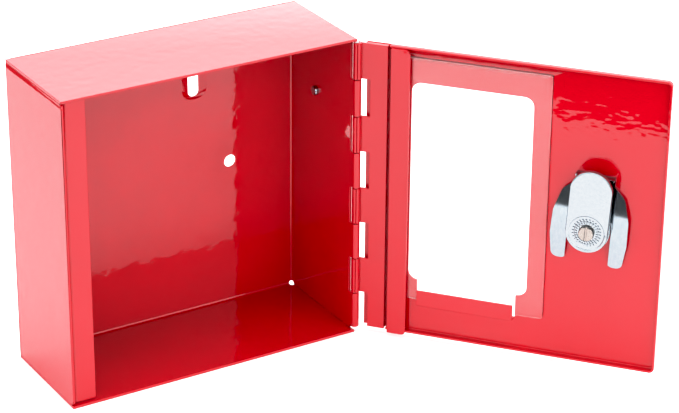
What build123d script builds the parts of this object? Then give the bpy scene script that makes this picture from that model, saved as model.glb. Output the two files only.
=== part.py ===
from build123d import *
import math
import os

# Small wall cabinet of folded sheet steel for an emergency key. Its glazed door hangs on a
# rolled-knuckle hinge at the right and shuts with a cam lock. Millimetres.
# Frame: X to the right, Y towards the wall, Z up. The origin is the middle of the back face,
# in the plane of the wall. The door is modelled standing open.

# ---- driving dimensions -------------------------------------------------------------------
WIDTH = 148.2                # outside, left to right
HEIGHT = 150.0               # outside, bottom to top
DEPTH = 58.8                 # outside, wall plane to front edges
CASE_SHEET = 1.2             # steel of the case and of the hinge knuckles
DOOR_SHEET = 1.0             # steel of the door panel and its stile
OPEN_ANGLE = 130.0           # door opening in the modelled pose

LEFT = -WIDTH / 2
RIGHT = WIDTH / 2
FRONT = -DEPTH
BOTTOM = -HEIGHT / 2
TOP = HEIGHT / 2

BACK_BEND = 2.4              # outside radius of the folds round the back wall
SEAM_GAP = 0.15              # open seam between neighbouring folded walls
RELIEF_RADIUS = 1.55         # relief where three walls meet

WALL_HOLE_RADIUS = 3.1       # two screw holes at mid-height
WALL_HOLE_X = 39.0
HOOK_X = 20.3                # key hook, centred behind the window
HOOK_SLOT_WIDTH = 5.5
HOOK_SLOT_BOTTOM = 36.9
HOOK_SLOT_TOP = 56.0
HOOK_REACH = 9.0
HOOK_LIP = 5.0
DISH_WIDTH = 14.9            # shallow coined dish round the hook slot
DISH_BOTTOM = 35.7
DISH_DEPTH = 1.0

STRIKE_SETBACK = 2.1         # strike face behind the front edges
STRIKE_REACH = 12.4          # strike edge from the outside of the left wall
STRIKE_LEG = 14.0
STRIKE_BOTTOM = BOTTOM + 1.8
STRIKE_TOP = TOP - 2.0

RIVET_Y = FRONT + 34.4       # blind rivet in the right wall
RIVET_Z = 37.8
RIVET_RADIUS = 1.6

PIN_RADIUS = 0.75
BORE_RADIUS = 0.80
KNUCKLE_RADIUS = BORE_RADIUS + CASE_SHEET
KNUCKLES = 8
HINGE_X = RIGHT + BORE_RADIUS
HINGE_Y = FRONT + 1.3
HINGE_BOTTOM = BOTTOM + 2.5
HINGE_TOP = TOP - 2.2
KNUCKLE_PITCH = (HINGE_TOP - HINGE_BOTTOM) / KNUCKLES
KNUCKLE_GAP = 0.3

# Door frame: X from the hinge axis to the free edge, Y outwards from the axis, Z as above.
DOOR_NEAR = 3.4              # hinge-side edge of the panel
DOOR_FAR = 145.3             # free edge
DOOR_BOTTOM = BOTTOM + 2.8
DOOR_TOP = TOP - 2.2
DOOR_FACE = 4.5              # outer face
DOOR_RIM = BORE_RADIUS       # inner rim of the folded flanges
DOOR_BACK = DOOR_FACE - DOOR_SHEET
DOOR_CORNER = 2.3
PAN_FROM = 15.0              # the top and bottom flanges start here

LEAF_FAR = 14.3
LEAF_NOTCH = 5.9             # leaf edge beside the case knuckles
LEAF_BOTTOM = DOOR_BOTTOM + 0.2
LEAF_TOP = DOOR_TOP - 0.4

STILE_NEAR = 16.1
STILE_FAR = 25.2
STILE_BOTTOM = BOTTOM + 1.8
STILE_TOP = TOP - 3.1
STILE_FACE = -0.3
STILE_CORNER = 2.0

SIGHT_NEAR = 25.4            # window opening in the panel
SIGHT_FAR = 82.8
SIGHT_BOTTOM = BOTTOM + 30.9
SIGHT_TOP = BOTTOM + 130.7
SIGHT_CORNER = 4.5
LIP_NEAR = 30.4              # stepped lip that carries the pane
LIP_FAR = 77.1
LIP_SLIT = 0.6
LIP_ROOT = BOTTOM + 19.15
LIP_TOP = BOTTOM + 26.3
LIP_FACE = 0.3
LIP_BEND = 0.8

PANE_NEAR = 18.4             # clear pane, between the lip and the inside of the panel
PANE_FAR = 91.3
PANE_BOTTOM = BOTTOM + 21.0
PANE_TOP = BOTTOM + 143.2
PANE_THICK = 1.9
PANE_PLAY = 0.1
PANE_CORNER = 1.2
PANE_ARRIS = 0.25

LOCK_X = 111.6               # lock axis on the door
LOCK_Z = BOTTOM + 72.3
LOCK_TILT = 3.5              # degrees
HOUSING_RADIUS = 10.0
HEAD_RADIUS = 12.0
HEAD_THICK = 2.0
HOUSING_END = -3.0
GROOVE_RADIUS = 9.1
CLIP_THICK = 1.0
CLIP_BACK = 3.3
CLIP_PLAY = 0.1
PLUG_RADIUS = 6.43
PLUG_BORE = 6.5
PLUG_SHOULDER = 7.4
SHOULDER_THICK = 1.2
PLUG_FACE = DOOR_FACE + HEAD_THICK - 0.3
WASHER_THICK = 0.5
WASHER_GAP = 0.15
CAM_THICK = 2.2
CAM_BACK = HOUSING_END - WASHER_GAP - WASHER_THICK
CAM_FACE = CAM_BACK - CAM_THICK
CAM_SEAT = 0.5               # depth of the round seat in the cam
CAM_RADIUS = 9.8
CAM_LENGTH = 30.4            # axis to tip
DRIVE_WIDTH = 6.4            # square drive at the plug's end
SCREW_RADIUS = 1.6
WAFERS = 4
WAFER_PITCH = 1.7
WAFER_FIRST = 3.4
WAFER_THICK = 0.8
WAFER_WIDTH = 5.0
WAFER_HEIGHT = 10.6
SPRING_X = 3.5
SPRING_RADIUS = 0.45
SPRING_WIRE = 0.1
SPRING_BASE = -2.5
SPRING_TOP = 0.3


# ---- helpers ------------------------------------------------------------------------------
def block(x0, x1, y0, y1, z0, z1):
    """Box between two corners."""
    middle = Pos((x0 + x1) / 2, (y0 + y1) / 2, (z0 + z1) / 2)
    return middle * Box(x1 - x0, y1 - y0, z1 - z0)


def post(x, y, z0, z1, radius):
    """Upright cylinder."""
    return Pos(x, y, (z0 + z1) / 2) * Cylinder(radius, z1 - z0)


def dowel(y0, y1, radius, x=0.0, z=0.0):
    """Cylinder along Y."""
    return Pos(x, (y0 + y1) / 2, z) * Rot(90, 0, 0) * Cylinder(radius, y1 - y0)


def bar(x0, x1, y, z, radius):
    """Cylinder along X."""
    return Pos((x0 + x1) / 2, y, z) * Rot(0, 90, 0) * Cylinder(radius, x1 - x0)


def plate(outline, y0, y1):
    """Flat outline drawn in X and Z, given thickness from y0 to y1."""
    upright = Plane(origin=(0, y1, 0), x_dir=(1, 0, 0), z_dir=(0, -1, 0))
    return extrude(upright * outline, y1 - y0, dir=(0, -1, 0))


def window(x0, x1, z0, z1, radius):
    """Rectangle with round corners, in X and Z."""
    return Pos((x0 + x1) / 2, (z0 + z1) / 2) * RectangleRounded(x1 - x0, z1 - z0, radius)


def knuckle_span(index):
    """Bottom and top of one knuckle, numbered from the top."""
    top = HINGE_TOP - index * KNUCKLE_PITCH
    return top - KNUCKLE_PITCH + KNUCKLE_GAP / 2, top - KNUCKLE_GAP / 2


# ---- case ---------------------------------------------------------------------------------
def make_shell():
    """Cross-shaped blank folded round the back wall; knuckles rolled from its right wall."""
    outer = block(LEFT, RIGHT, FRONT, 0, BOTTOM, TOP)
    outer = fillet(outer.faces().sort_by(Axis.Y)[-1].edges(), BACK_BEND)
    inner = block(LEFT + CASE_SHEET, RIGHT - CASE_SHEET, FRONT - 5, -CASE_SHEET,
                  BOTTOM + CASE_SHEET, TOP - CASE_SHEET)
    inner = fillet(inner.faces().sort_by(Axis.Y)[-1].edges(), BACK_BEND - CASE_SHEET)
    shell = outer - inner

    # open seams along the four corners, ending in relief holes at the back
    for side in (-1, 1):
        wall_out = side * (WIDTH / 2 + 1)
        wall_in = side * (WIDTH / 2 - CASE_SHEET)
        for level in (-1, 1):
            seam_out = level * (HEIGHT / 2 - CASE_SHEET)
            seam_in = level * (HEIGHT / 2 - CASE_SHEET - SEAM_GAP)
            shell -= block(min(wall_in, wall_out), max(wall_in, wall_out), FRONT - 1,
                           -BACK_BEND, min(seam_in, seam_out), max(seam_in, seam_out))
            corner = Pos(side * (WIDTH / 2 - 1.3), -1.3, level * (HEIGHT / 2 - 1.3))
            shell -= corner * Sphere(RELIEF_RADIUS)

    # rounded front corners of the side walls
    shell -= front_corner(LEFT, TOP - CASE_SHEET - SEAM_GAP, 1, 2.5)
    shell -= front_corner(LEFT, BOTTOM + CASE_SHEET + SEAM_GAP, -1, 2.5)
    shell -= front_corner(RIGHT - CASE_SHEET, BOTTOM + CASE_SHEET + SEAM_GAP, -1, 5.2)
    shell -= front_corner(RIGHT - CASE_SHEET, TOP - CASE_SHEET - SEAM_GAP, 1, 2.5)

    # hinge: the right wall is cut back beside the door knuckles and rolled at its own
    tab_x0 = RIGHT - CASE_SHEET - 0.5
    tab_front = HINGE_Y + KNUCKLE_RADIUS + 0.4
    shell -= block(tab_x0, RIGHT + 1, FRONT - 1, HINGE_Y, BOTTOM + 1.7, TOP - 1.7)
    for index in range(KNUCKLES):
        low, high = knuckle_span(index)
        if index % 2 == 0:
            shell -= block(tab_x0, RIGHT + 1, FRONT - 1, tab_front, low - KNUCKLE_GAP,
                           high + KNUCKLE_GAP)
        else:
            shell -= post(HINGE_X, HINGE_Y, low, high, BORE_RADIUS)
            roll = post(HINGE_X, HINGE_Y, low, high, KNUCKLE_RADIUS)
            roll -= post(HINGE_X, HINGE_Y, low - 1, high + 1, BORE_RADIUS)
            shell += roll

    # wall screw holes
    for x in (-WALL_HOLE_X, WALL_HOLE_X):
        shell -= dowel(-5, 5, WALL_HOLE_RADIUS, x=x)

    # dish, slot and key hook in the back wall
    shell -= hook_dish()
    slot = window(HOOK_X - HOOK_SLOT_WIDTH / 2, HOOK_X + HOOK_SLOT_WIDTH / 2,
                  HOOK_SLOT_BOTTOM, HOOK_SLOT_TOP, HOOK_SLOT_WIDTH / 2 - 0.1)
    shell -= plate(slot, -5, 5)
    shell += key_hook()

    shell -= bar(RIGHT - 5, RIGHT + 5, RIVET_Y, RIVET_Z, RIVET_RADIUS + 0.05)
    return shell


def front_corner(x, z, level, radius):
    """Waste outside the rounded front corner of a side wall whose left face is at x."""
    low = min(z, z - level * radius)
    waste = block(x - 0.5, x + CASE_SHEET + 0.5, FRONT - 1, FRONT + radius, low, low + radius)
    centre_z = z - level * radius
    return waste - bar(x - 1, x + CASE_SHEET + 1, FRONT + radius, centre_z, radius)


def hook_dish():
    """Coined dish whose flanks slope down to the slot."""
    rim = window(HOOK_X - DISH_WIDTH / 2, HOOK_X + DISH_WIDTH / 2, DISH_BOTTOM,
                 HOOK_SLOT_TOP + 1.2, 6.4)
    floor = window(HOOK_X - HOOK_SLOT_WIDTH / 2 - 0.6, HOOK_X + HOOK_SLOT_WIDTH / 2 + 0.6,
                   HOOK_SLOT_BOTTOM - 0.5, HOOK_SLOT_TOP + 0.5, HOOK_SLOT_WIDTH / 2)
    face = -CASE_SHEET
    near = Plane(origin=(0, face, 0), x_dir=(1, 0, 0), z_dir=(0, -1, 0))
    deep = Plane(origin=(0, face + DISH_DEPTH, 0), x_dir=(1, 0, 0), z_dir=(0, -1, 0))
    return loft([near * rim, deep * floor])


def key_hook():
    """Tab lanced out of the slot, bent forward at its top end and turned up."""
    half = HOOK_SLOT_WIDTH / 2 - 0.4
    root = HOOK_SLOT_TOP - 0.2
    tip = -CASE_SHEET - HOOK_REACH
    arm = block(HOOK_X - half, HOOK_X + half, tip, -0.3, root, root + CASE_SHEET)
    lip = block(HOOK_X - half, HOOK_X + half, tip, tip + CASE_SHEET, root, root + HOOK_LIP)
    return arm + lip


def make_tack_welds(shell):
    """Two short weld beads in each of the four corner seams."""
    beads = []
    for side in (-1, 1):
        for level in (-1, 1):
            z = level * (HEIGHT / 2 - CASE_SHEET - SEAM_GAP / 2)
            x = side * (WIDTH / 2 - CASE_SHEET / 2)
            for y, length in ((-35.0, 9.0), (FRONT + 6.5, 5.0)):
                bead = block(x - 0.55, x + 0.55, y - length / 2, y + length / 2,
                             z - SEAM_GAP / 2, z + SEAM_GAP / 2)
                beads.append(bead - shell)
    return Compound(children=beads)


def make_strike():
    """Angle on the left wall; the lock cam hooks behind its face."""
    x0 = LEFT + CASE_SHEET
    y0 = FRONT + STRIKE_SETBACK
    outer = block(x0, LEFT + STRIKE_REACH, y0, y0 + STRIKE_LEG, STRIKE_BOTTOM, STRIKE_TOP)
    bend = outer.edges().filter_by(Axis.Z).group_by(Axis.X)[0].sort_by(Axis.Y)[0]
    outer = fillet(bend, 2.4)
    inner = block(x0 + CASE_SHEET, LEFT + STRIKE_REACH + 1, y0 + CASE_SHEET,
                  y0 + STRIKE_LEG + 1, STRIKE_BOTTOM - 1, STRIKE_TOP + 1)
    bend = inner.edges().filter_by(Axis.Z).group_by(Axis.X)[0].sort_by(Axis.Y)[0]
    return outer - fillet(bend, 1.2)


def make_rivet():
    """Blind rivet through the right wall, domed head outside."""
    inside = RIGHT - CASE_SHEET
    shank = bar(inside - 1.9, RIGHT + 0.2, RIVET_Y, RIVET_Z, RIVET_RADIUS)
    bulge = bar(inside - 1.9, inside, RIVET_Y, RIVET_Z, 2.3)
    bulge = fillet(bulge.edges().group_by(Axis.X)[0], 0.8)
    head = bar(RIGHT, RIGHT + 1.1, RIVET_Y, RIVET_Z, 3.2)
    head = fillet(head.edges().group_by(Axis.X)[-1], 0.9)
    return shank + bulge + head - bar(RIGHT - 1, RIGHT + 2, RIVET_Y, RIVET_Z, 0.7)


def make_hinge_pin():
    """Straight pin through all the knuckles."""
    return post(HINGE_X, HINGE_Y, HINGE_BOTTOM, HINGE_TOP, PIN_RADIUS)


# ---- door, in its own frame ---------------------------------------------------------------
def make_door_panel():
    """Shallow pan with the window, the spring lip under it and the lock hole."""
    outer = block(DOOR_NEAR, DOOR_FAR, DOOR_RIM, DOOR_FACE, DOOR_BOTTOM, DOOR_TOP)
    corners = outer.edges().filter_by(Axis.Y).group_by(Axis.X)[-1]
    outer = fillet(corners, DOOR_CORNER)
    rim_edges = outer.faces().sort_by(Axis.Y)[-1].edges()
    outer = fillet([e for e in rim_edges if e.center().X > DOOR_NEAR + 1], 1.4)
    inner = block(DOOR_NEAR - 1, DOOR_FAR - DOOR_SHEET, DOOR_RIM - 1, DOOR_BACK,
                  DOOR_BOTTOM + DOOR_SHEET, DOOR_TOP - DOOR_SHEET)
    corners = inner.edges().filter_by(Axis.Y).group_by(Axis.X)[-1]
    inner = fillet(corners, DOOR_CORNER - DOOR_SHEET)
    pan = outer - inner
    pan -= block(DOOR_NEAR - 1, PAN_FROM, DOOR_RIM - 1, DOOR_BACK, DOOR_BOTTOM - 1,
                 DOOR_TOP + 1)

    pan -= plate(window(SIGHT_NEAR, SIGHT_FAR, SIGHT_BOTTOM, SIGHT_TOP, SIGHT_CORNER),
                 DOOR_BACK - 1, DOOR_FACE + 1)
    pan -= block(LIP_NEAR - LIP_SLIT, LIP_FAR + LIP_SLIT, DOOR_BACK - 1, DOOR_FACE + 1,
                 LIP_ROOT, SIGHT_BOTTOM + SIGHT_CORNER)
    pan += pane_lip()
    pan -= dowel(DOOR_BACK - 1, DOOR_FACE + 1, HOUSING_RADIUS + 0.1, x=LOCK_X, z=LOCK_Z)
    return pan


def pane_lip():
    """Lip lanced from the panel and stepped inwards; the pane stands behind it."""
    step = block(LIP_NEAR, LIP_FAR, LIP_FACE, DOOR_FACE, LIP_ROOT - DOOR_SHEET, LIP_ROOT)
    tongue = block(LIP_NEAR, LIP_FAR, LIP_FACE, LIP_FACE + DOOR_SHEET, LIP_ROOT - DOOR_SHEET,
                   LIP_TOP)
    lip = step + tongue
    along = lip.edges().filter_by(Axis.X).group_by(Axis.Y)[0]
    return fillet(along.sort_by(Axis.Z)[0], LIP_BEND)


def make_hinge_leaf():
    """Channel down the hinge side; its tabs are rolled round the pin."""
    y0 = DOOR_RIM
    y1 = y0 + CASE_SHEET
    leaf = block(0, LEAF_FAR, y0, y1, LEAF_BOTTOM, LEAF_TOP)
    leaf += block(LEAF_FAR - CASE_SHEET, LEAF_FAR, y0, DOOR_BACK, LEAF_BOTTOM, LEAF_TOP)
    for low in (LEAF_BOTTOM, LEAF_TOP - CASE_SHEET):
        leaf += block(DOOR_NEAR, LEAF_FAR, y0, DOOR_BACK, low, low + CASE_SHEET)
    leaf -= block(-1, DOOR_NEAR, y0 - 1, y1 + 1, HINGE_TOP, LEAF_TOP + 1)
    leaf -= block(-1, DOOR_NEAR, y0 - 1, y1 + 1, LEAF_BOTTOM - 1, HINGE_BOTTOM)
    for index in range(KNUCKLES):
        low, high = knuckle_span(index)
        if index % 2 == 0:
            roll = post(0, 0, low, high, KNUCKLE_RADIUS)
            roll -= post(0, 0, low - 1, high + 1, BORE_RADIUS)
            # end of the roll, a fine slit on the inner side
            roll -= block(0.45, 0.75, -KNUCKLE_RADIUS - 1, -BORE_RADIUS - 0.5, low - 1,
                          high + 1)
            leaf += roll
        else:
            leaf -= block(-1, LEAF_NOTCH, y0 - 1, DOOR_BACK + 1, low - KNUCKLE_GAP,
                          high + KNUCKLE_GAP)
    return leaf


def make_stile():
    """Angle beside the leaf; it stiffens the door and covers the edge of the pane."""
    x_mid = (STILE_NEAR + STILE_FAR) / 2
    flange = block(STILE_NEAR, STILE_FAR, STILE_FACE, STILE_FACE + DOOR_SHEET, STILE_BOTTOM,
                   STILE_TOP)
    far_corners = flange.edges().filter_by(Axis.Y).filter_by(lambda e: e.center().X > x_mid)
    flange = fillet(far_corners, STILE_CORNER)
    web = block(STILE_NEAR, STILE_NEAR + DOOR_SHEET, STILE_FACE, DOOR_BACK,
                DOOR_BOTTOM + DOOR_SHEET + 0.1, DOOR_TOP - DOOR_SHEET - 0.1)
    return flange + web


def make_pane():
    """Clear pane against the inside of the panel, its cut edges slightly broken."""
    y1 = DOOR_BACK - PANE_PLAY
    pane = block(PANE_NEAR, PANE_FAR, y1 - PANE_THICK, y1, PANE_BOTTOM, PANE_TOP)
    pane = fillet(pane.edges().filter_by(Axis.Y), PANE_CORNER)
    return chamfer(pane.faces().sort_by(Axis.Y)[0].edges(), PANE_ARRIS)


# ---- lock, on its own axis: Y outwards, Z towards the cam's tip -----------------------------
def make_housing():
    """Round body with a head outside the door and a groove for the horseshoe clip."""
    head = dowel(DOOR_FACE, DOOR_FACE + HEAD_THICK, HEAD_RADIUS)
    head = fillet(head.edges().group_by(Axis.Y)[-1], 0.8)
    body = head + dowel(HOUSING_END, DOOR_FACE, HOUSING_RADIUS)
    groove = dowel(CLIP_BACK - CLIP_THICK - CLIP_PLAY, CLIP_BACK + CLIP_PLAY, HOUSING_RADIUS + 1)
    groove -= dowel(0, DOOR_FACE, GROOVE_RADIUS)
    body -= groove
    body -= dowel(HOUSING_END - 1, DOOR_FACE + HEAD_THICK + 1, PLUG_BORE)
    body -= dowel(PLUG_FACE - SHOULDER_THICK - 0.07, PLUG_FACE + 5, PLUG_SHOULDER + 0.07)
    return body


def wafer_level(index):
    """Place of one wafer along the plug."""
    return WAFER_FIRST - index * WAFER_PITCH


def make_plug():
    """Turning core: shoulder, keyway, wafer slots, square drive and screw hole."""
    drive_end = CAM_FACE + CAM_SEAT + 0.05
    plug = dowel(PLUG_FACE - SHOULDER_THICK, PLUG_FACE, PLUG_SHOULDER)
    plug += dowel(HOUSING_END, PLUG_FACE, PLUG_RADIUS)
    drive = block(-DRIVE_WIDTH / 2, DRIVE_WIDTH / 2, drive_end, HOUSING_END,
                  -DRIVE_WIDTH / 2, DRIVE_WIDTH / 2)
    plug += drive
    keyway = WAFER_FIRST - (WAFERS - 1) * WAFER_PITCH - 0.6
    plug -= block(-1.1, 1.1, keyway, PLUG_FACE + 1, -3.6, 3.6)
    for index in range(WAFERS):
        y = wafer_level(index)
        half = WAFER_THICK / 2 + 0.05
        plug -= block(-WAFER_WIDTH / 2 - 0.05, WAFER_WIDTH / 2 + 0.05, y - half, y + half,
                      -PLUG_RADIUS - 1, PLUG_RADIUS + 1)
        plug -= block(0, SPRING_X + 0.95, y - half, y + half, SPRING_BASE, 2.0)
        plug -= Pos(SPRING_X, y, (SPRING_BASE + SPRING_TOP) / 2) * Cylinder(
            0.7, SPRING_TOP - SPRING_BASE)
    plug -= dowel(drive_end - 1, drive_end + 3.2, SCREW_RADIUS + 0.05)
    return plug


def make_wafer(index):
    """Tumbler plate; each has its key window at another height."""
    y = wafer_level(index)
    shift = (0.6, -0.3, 0.2, -0.7)[index]
    half = WAFER_THICK / 2
    wafer = block(-WAFER_WIDTH / 2, WAFER_WIDTH / 2, y - half, y + half, -WAFER_HEIGHT / 2,
                  WAFER_HEIGHT / 2)
    wafer += block(0, SPRING_X + 0.8, y - half, y + half, SPRING_TOP + 0.1, 1.6)
    wafer -= block(-1.2, 1.2, y - 1, y + 1, shift - 3.4, shift + 3.4)
    return wafer


def make_wafer_spring(index):
    """Fine coil under the wafer's ear."""
    y = wafer_level(index)
    length = SPRING_TOP - SPRING_BASE - 2 * SPRING_WIRE - 0.1
    path = Helix(pitch=0.55, height=length, radius=SPRING_RADIUS)
    ring = Plane(origin=path @ 0, z_dir=path % 0) * Circle(SPRING_WIRE)
    coil = sweep(ring, path=path)
    return Pos(SPRING_X, y, SPRING_BASE + SPRING_WIRE + 0.05) * coil


def cam_outline():
    """Straight cam with two round ends."""
    waist = Pos(0, (CAM_LENGTH - CAM_RADIUS) / 2) * Rectangle(
        2 * CAM_RADIUS, CAM_LENGTH - CAM_RADIUS)
    tip = Pos(0, CAM_LENGTH - CAM_RADIUS) * Circle(CAM_RADIUS)
    return waist + Circle(CAM_RADIUS) + tip


def square_hole(y0, y1):
    """Hole for the plug's square drive."""
    half = DRIVE_WIDTH / 2 + 0.08
    return block(-half, half, y0, y1, -half, half)


def make_stop_washer():
    """Thin washer between housing and cam, keyed to the plug, with a stop ear."""
    ring = dowel(CAM_BACK, CAM_BACK + WASHER_THICK, 9.0)
    ring += block(-1.5, 1.5, CAM_BACK, CAM_BACK + WASHER_THICK, -9.8, 0)
    return ring - square_hole(CAM_BACK - 1, CAM_BACK + 1)


def make_cam():
    """Latch plate with a shallow round seat for the screw and its washer."""
    cam = plate(cam_outline(), CAM_FACE, CAM_BACK)
    cam = chamfer(cam.faces().sort_by(Axis.Y)[0].edges(), 0.3)
    cam -= dowel(CAM_FACE - 1, CAM_FACE + CAM_SEAT, 8.3)
    return cam - square_hole(CAM_FACE - 1, CAM_BACK + 1)


def make_spring_washer():
    """Flat toothed washer under the screw head, drawn as a plain ring."""
    ring = dowel(CAM_FACE - 0.1, CAM_FACE + CAM_SEAT, 5.6)
    return ring - dowel(CAM_FACE - 1, CAM_FACE + 1, SCREW_RADIUS + 0.15)


def make_cam_screw():
    """Pan-head screw that holds the cam on the plug."""
    seat = CAM_FACE - 0.1
    head = dowel(seat - 1.4, seat, 3.5)
    head = fillet(head.edges().group_by(Axis.Y)[0], 0.6)
    shank = dowel(seat, CAM_FACE + 3.3, SCREW_RADIUS)
    slot = block(-0.45, 0.45, seat - 2, seat - 0.8, -4, 4)
    return head + shank - slot


def make_clip():
    """Spring steel horseshoe pushed into the housing's groove, with a turned-up grip."""
    y0 = CLIP_BACK - CLIP_THICK
    half = [(9.0, 26.0), (9.0, 21.5), (14.6, 16.4), (17.6, 6.0), (18.0, -6.0), (16.6, -18.3)]
    outline = Polygon(*half, *[(-x, z) for x, z in reversed(half)], align=None)
    outline = fillet(outline.vertices().filter_by(lambda v: 14 < abs(v.X) and v.Y > -10), 5.0)
    outline -= Circle(GROOVE_RADIUS + 0.1)
    outline -= Pos(0, -12) * Rectangle(2 * GROOVE_RADIUS + 0.2, 24)
    tips = outline.vertices().filter_by(lambda v: v.Y < -17)
    outline = fillet(tips, 3.3)
    blank = plate(outline, y0, CLIP_BACK)
    grip = block(-9.0, 9.0, y0 - 3.4, y0 + 0.1, 25.0, 26.0)
    return blank + grip


# ---- assembly -----------------------------------------------------------------------------
DOOR = Pos(HINGE_X, HINGE_Y, 0) * Rot(0, 0, OPEN_ANGLE - 180)
LOCK = DOOR * Pos(LOCK_X, 0, LOCK_Z) * Rot(0, LOCK_TILT, 0)


def build():
    """Every node by name, in place."""
    shell = make_shell()
    nodes = {
        "cabinet_shell": shell,
        "corner_tack_welds": make_tack_welds(shell),
        "strike_angle": make_strike(),
        "chain_anchor_rivet": make_rivet(),
        "hinge_pin": make_hinge_pin(),
        "door_panel": DOOR * make_door_panel(),
        "door_hinge_leaf": DOOR * make_hinge_leaf(),
        "door_stile": DOOR * make_stile(),
        "glass_pane": DOOR * make_pane(),
        "lock_housing": LOCK * make_housing(),
        "horseshoe_clip": LOCK * make_clip(),
        "lock_plug": LOCK * make_plug(),
        "stop_washer": LOCK * make_stop_washer(),
        "lock_cam": LOCK * make_cam(),
        "cam_washer": LOCK * make_spring_washer(),
        "cam_screw": LOCK * make_cam_screw(),
    }
    for index in range(WAFERS):
        nodes[f"wafer_{index + 1}"] = LOCK * make_wafer(index)
        nodes[f"wafer_spring_{index + 1}"] = LOCK * make_wafer_spring(index)
    return nodes


os.makedirs("parts", exist_ok=True)
for name, solid in build().items():
    export_step(solid, f"parts/{name}.step")
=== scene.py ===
import math

import bmesh
import bpy
from bpy.props import FloatProperty, FloatVectorProperty, IntProperty, PointerProperty
from mathutils import Matrix, Vector


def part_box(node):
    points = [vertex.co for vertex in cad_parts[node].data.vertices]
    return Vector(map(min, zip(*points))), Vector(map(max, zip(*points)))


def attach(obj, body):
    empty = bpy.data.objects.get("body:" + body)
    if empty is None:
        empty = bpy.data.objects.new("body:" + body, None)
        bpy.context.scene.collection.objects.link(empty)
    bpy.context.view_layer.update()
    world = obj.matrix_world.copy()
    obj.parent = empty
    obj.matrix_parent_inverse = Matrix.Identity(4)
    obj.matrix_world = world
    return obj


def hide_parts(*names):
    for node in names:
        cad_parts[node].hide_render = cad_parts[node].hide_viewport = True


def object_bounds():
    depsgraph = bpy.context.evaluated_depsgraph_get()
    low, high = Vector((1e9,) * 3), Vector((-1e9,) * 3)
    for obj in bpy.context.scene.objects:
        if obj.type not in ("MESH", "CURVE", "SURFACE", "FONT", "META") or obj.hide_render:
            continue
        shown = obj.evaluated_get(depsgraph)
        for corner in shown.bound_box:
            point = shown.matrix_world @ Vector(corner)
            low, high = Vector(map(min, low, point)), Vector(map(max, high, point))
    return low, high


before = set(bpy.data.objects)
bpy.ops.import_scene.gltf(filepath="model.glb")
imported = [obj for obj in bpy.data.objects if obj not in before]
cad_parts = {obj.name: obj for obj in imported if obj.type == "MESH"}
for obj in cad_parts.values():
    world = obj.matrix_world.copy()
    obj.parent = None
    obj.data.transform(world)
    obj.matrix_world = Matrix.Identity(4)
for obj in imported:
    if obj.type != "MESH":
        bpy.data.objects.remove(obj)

bl_info = {
    "name": "Emergency key cabinet",
    "version": (1, 0, 0),
    "blender": (4, 5, 0),
    "location": "3D View > Sidebar > Key cabinet",
    "description": "Finishes a small red wall cabinet for an emergency key, its glazed door and its cam lock",
    "category": "Object",
}

CAD_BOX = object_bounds()
MM = 0.001
DOUBLES = 0.002 * MM             # points nearer than this are one point
CUT_MARGIN = 0.0001 * MM         # points this near to a cutting plane lie in it
FLAT_ENOUGH = 0.07 * MM          # how far a flat area's points may stray from its plane
WIDE_AREA = 600 * MM * MM        # flat areas above this get new triangles

# The door stands open, so its pieces are worked out in its own frame: X from the hinge axis to
# the free edge, Y outwards from the axis, Z up.
HINGE = Vector((0.0749, -0.0575, 0.0))
DOOR_OPEN = math.radians(130.0)
DOOR_FRAME = Matrix.Translation(HINGE) @ Matrix.Rotation(DOOR_OPEN - math.pi, 4, "Z")
INNER_FACE = 3.9 * MM            # the panel's inner face lies within this Y
LOCK_TILT = math.radians(3.5)
LOCK_PLACE = Matrix.Translation((0.1116, 0.0, -0.0027))
LOCK_FRAME = DOOR_FRAME @ LOCK_PLACE @ Matrix.Rotation(LOCK_TILT, 4, "Y")


def linear(code):
    """Linear RGBA of an sRGB hex colour."""
    parts = [int(code[i:i + 2], 16) / 255 for i in (1, 3, 5)]
    return tuple(c / 12.92 if c <= 0.04045 else ((c + 0.055) / 1.055) ** 2.4 for c in parts) + (1.0,)


# ---- settings that a user would change ----------------------------------------------------
class EnamelSettings(bpy.types.PropertyGroup):
    colour: FloatVectorProperty(
        name="Enamel", description="Red of the stoved gloss enamel", subtype="COLOR", size=4,
        min=0.0, max=1.0, default=linear("#AF041C"))
    deep: FloatVectorProperty(
        name="Thick enamel", description="Deeper red where the coat is thick", subtype="COLOR", size=4,
        min=0.0, max=1.0, default=linear("#A20318"))
    edge: FloatProperty(
        name="Edge rounding", description="Radius that the coat leaves on a sheared edge", default=0.28 * MM,
        unit="LENGTH", precision=5)
    peel: FloatProperty(
        name="Orange peel", description="Spacing of the waves in the coat", default=4.8 * MM,
        unit="LENGTH", precision=5)


class LockSettings(bpy.types.PropertyGroup):
    clip_bow: FloatProperty(
        name="Clip bow", description="How far the spring clip's prongs curve away from the door",
        default=2.4 * MM, unit="LENGTH", precision=5)
    washer_radius: FloatProperty(
        name="Washer radius", description="Middle radius of the toothed washer", default=5.6 * MM,
        unit="LENGTH", precision=5)
    washer_teeth: IntProperty(
        name="Washer teeth", description="Teeth of the lock washer under the screw", default=26, min=6)
    edge: FloatProperty(
        name="Edge rounding", description="Radius on the cast and stamped edges", default=0.3 * MM,
        unit="LENGTH", precision=5)


class WeldSettings(bpy.types.PropertyGroup):
    pitch: FloatProperty(
        name="Ripple pitch", description="Distance between the ripples of a tack weld", default=0.9 * MM,
        unit="LENGTH", precision=5)
    bead: FloatProperty(
        name="Bead radius", description="Radius of a tack weld's bead", default=0.6 * MM,
        unit="LENGTH", precision=5)


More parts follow.
